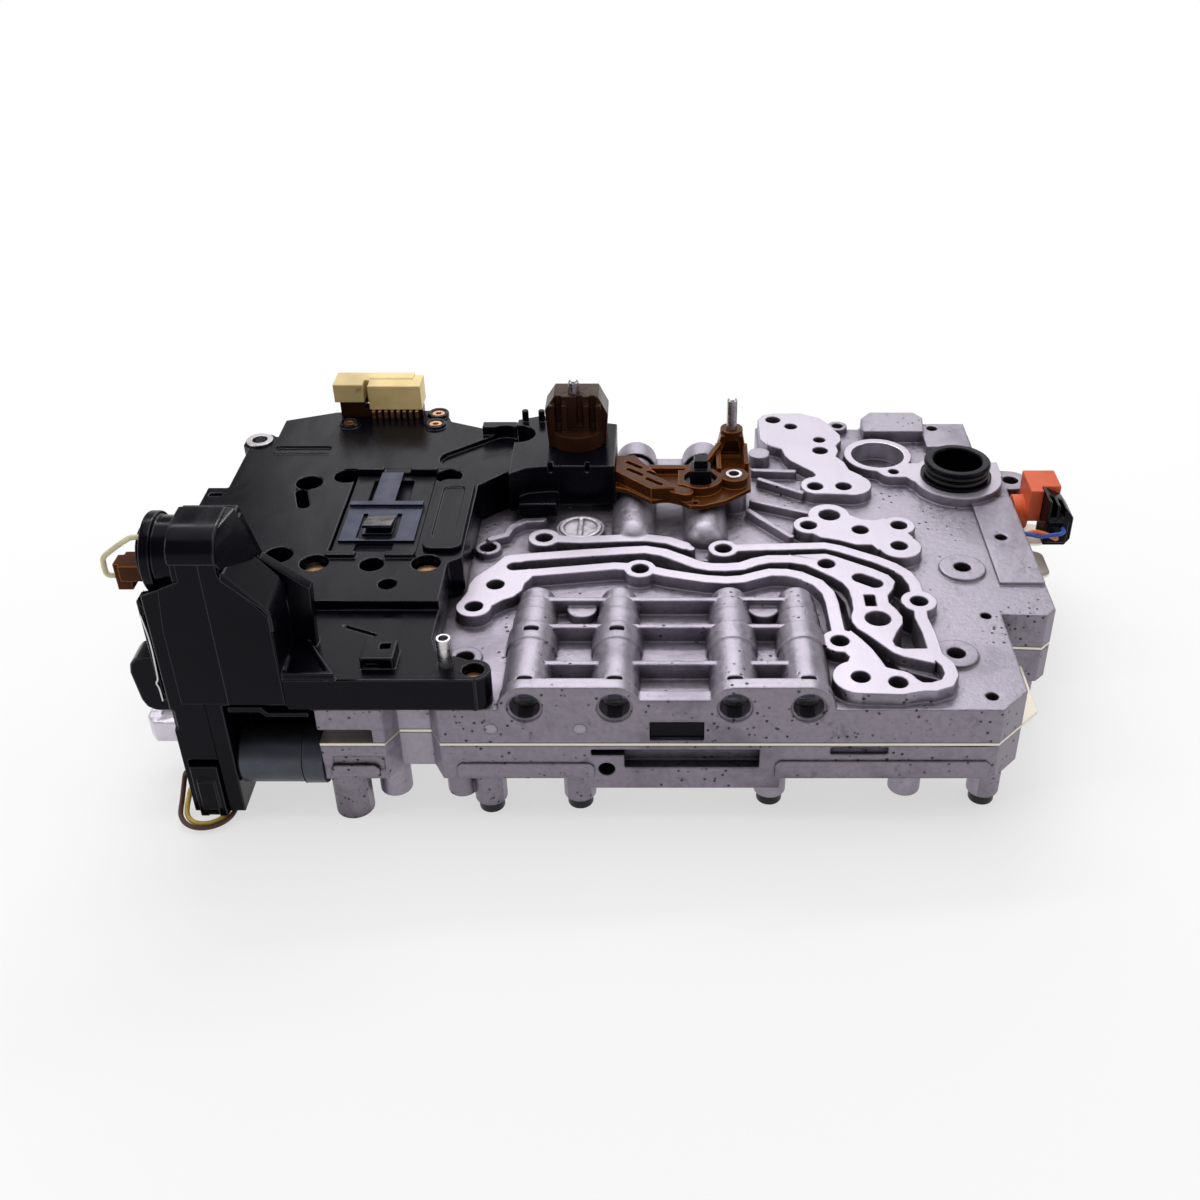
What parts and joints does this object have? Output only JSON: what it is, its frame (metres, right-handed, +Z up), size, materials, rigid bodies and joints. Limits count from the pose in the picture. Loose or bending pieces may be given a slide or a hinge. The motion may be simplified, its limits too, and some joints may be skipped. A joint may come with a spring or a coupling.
{
  "type": "transmission valve body",
  "caption": "Automatic gearbox valve body: split alloy casting with worm track oil lands, sliding spools and a selector valve, with a plastic electronics carrier, sensors and solenoids.",
  "frame": {"origin": "middle of the bounding box at the bottom of the bolt heads and the long foot", "axes": "+X along the casting, from the selector eye to the side solenoid; +Y away from the front valve bores; +Z up out of the machined lands"},
  "size_m": [0.355, 0.2196, 0.1186],
  "materials": {
    "cast": "cast with machined faces",
    "plate": "rolled sheet",
    "steel": "ground",
    "spring": "drawn wire",
    "dark_steel": "black oxide",
    "copper": "coppered",
    "black": "moulded",
    "rubber": "smooth",
    "brown": "moulded",
    "amber": "moulded, slightly clear",
    "cream": "moulded",
    "orange": "moulded",
    "can": "satin",
    "lead_white": "insulated",
    "lead_yellow": "insulated",
    "lead_brown": "insulated",
    "lead_blue": "insulated",
    "lead_orange": "insulated"
  },
  "bodies": {
    "frame": {"upper_housing": "cast", "separator_plate": "plate", "lower_housing": "cast", "housing_bolts": "dark_steel", "spring_1": "spring", "spring_2": "spring", "spring_3": "spring", "spring_4": "spring", "rear_spring_1": "spring", "rear_spring_2": "spring", "valve_plugs": "steel", "rear_plugs": "steel", "retaining_keys": "steel", "screw_plug": "cast", "check_balls": "steel", "oil_spigot": "black", "spigot_seals": "rubber", "carrier": "black", "carrier_base": "black", "control_module": "black", "spring_clip": "spring", "carrier_cover": "black", "carrier_bush": "steel", "guide_pin": "steel", "carrier_screws": "copper", "sensor_box": "black", "sensor_tower": "brown", "tower_pin": "steel", "sensor_bracket": "amber", "hall_sensor": "black", "bracket_pin": "steel", "bracket_bush": "steel", "plug_connector": "cream", "pin_holder": "brown", "connector_pins": "copper", "connector_screws": "copper", "round_solenoid": "black", "contact_block": "amber", "contact_lead": "lead_white", "lower_solenoid": "can", "lower_plug": "black", "lead_yellow": "lead_yellow", "lead_brown": "lead_brown", "side_solenoid": "orange", "side_plug": "black", "lead_blue": "lead_blue", "lead_orange": "lead_orange"},
    "spool_1_body": {"spool_1": "steel"},
    "spool_2_body": {"spool_2": "steel"},
    "spool_3_body": {"spool_3": "steel"},
    "spool_4_body": {"spool_4": "steel"},
    "rear_spool_1_body": {"rear_spool_1": "steel"},
    "rear_spool_2_body": {"rear_spool_2": "steel"},
    "selector_valve_body": {"selector_valve": "cast"}
  },
  "joints": [
    {"name": "spool_1_slide", "type": "slide", "parent": "frame", "child": "spool_1_body", "axis": [0, 1, 0], "range_m": [0, 0.006], "stiffness_N_per_m": 400, "springref_m": -0.004, "deforming": ["spring_1"]},
    {"name": "spool_2_slide", "type": "slide", "parent": "frame", "child": "spool_2_body", "axis": [0, 1, 0], "range_m": [0, 0.006], "stiffness_N_per_m": 400, "springref_m": -0.004, "deforming": ["spring_2"]},
    {"name": "spool_3_slide", "type": "slide", "parent": "frame", "child": "spool_3_body", "axis": [0, 1, 0], "range_m": [0, 0.006], "stiffness_N_per_m": 400, "springref_m": -0.004, "deforming": ["spring_3"]},
    {"name": "spool_4_slide", "type": "slide", "parent": "frame", "child": "spool_4_body", "axis": [0, 1, 0], "range_m": [0, 0.006], "stiffness_N_per_m": 400, "springref_m": -0.004, "deforming": ["spring_4"]},
    {"name": "rear_spool_1_slide", "type": "slide", "parent": "frame", "child": "rear_spool_1_body", "axis": [0, -1, 0], "range_m": [0, 0.006], "stiffness_N_per_m": 400, "springref_m": -0.004, "deforming": ["rear_spring_1"]},
    {"name": "rear_spool_2_slide", "type": "slide", "parent": "frame", "child": "rear_spool_2_body", "axis": [0, -1, 0], "range_m": [0, 0.006], "stiffness_N_per_m": 400, "springref_m": -0.004, "deforming": ["rear_spring_2"]},
    {"name": "selector_slide", "type": "slide", "parent": "frame", "child": "selector_valve_body", "axis": [1, 0, 0], "range_m": [-0.01, 0.01]}
  ]
}
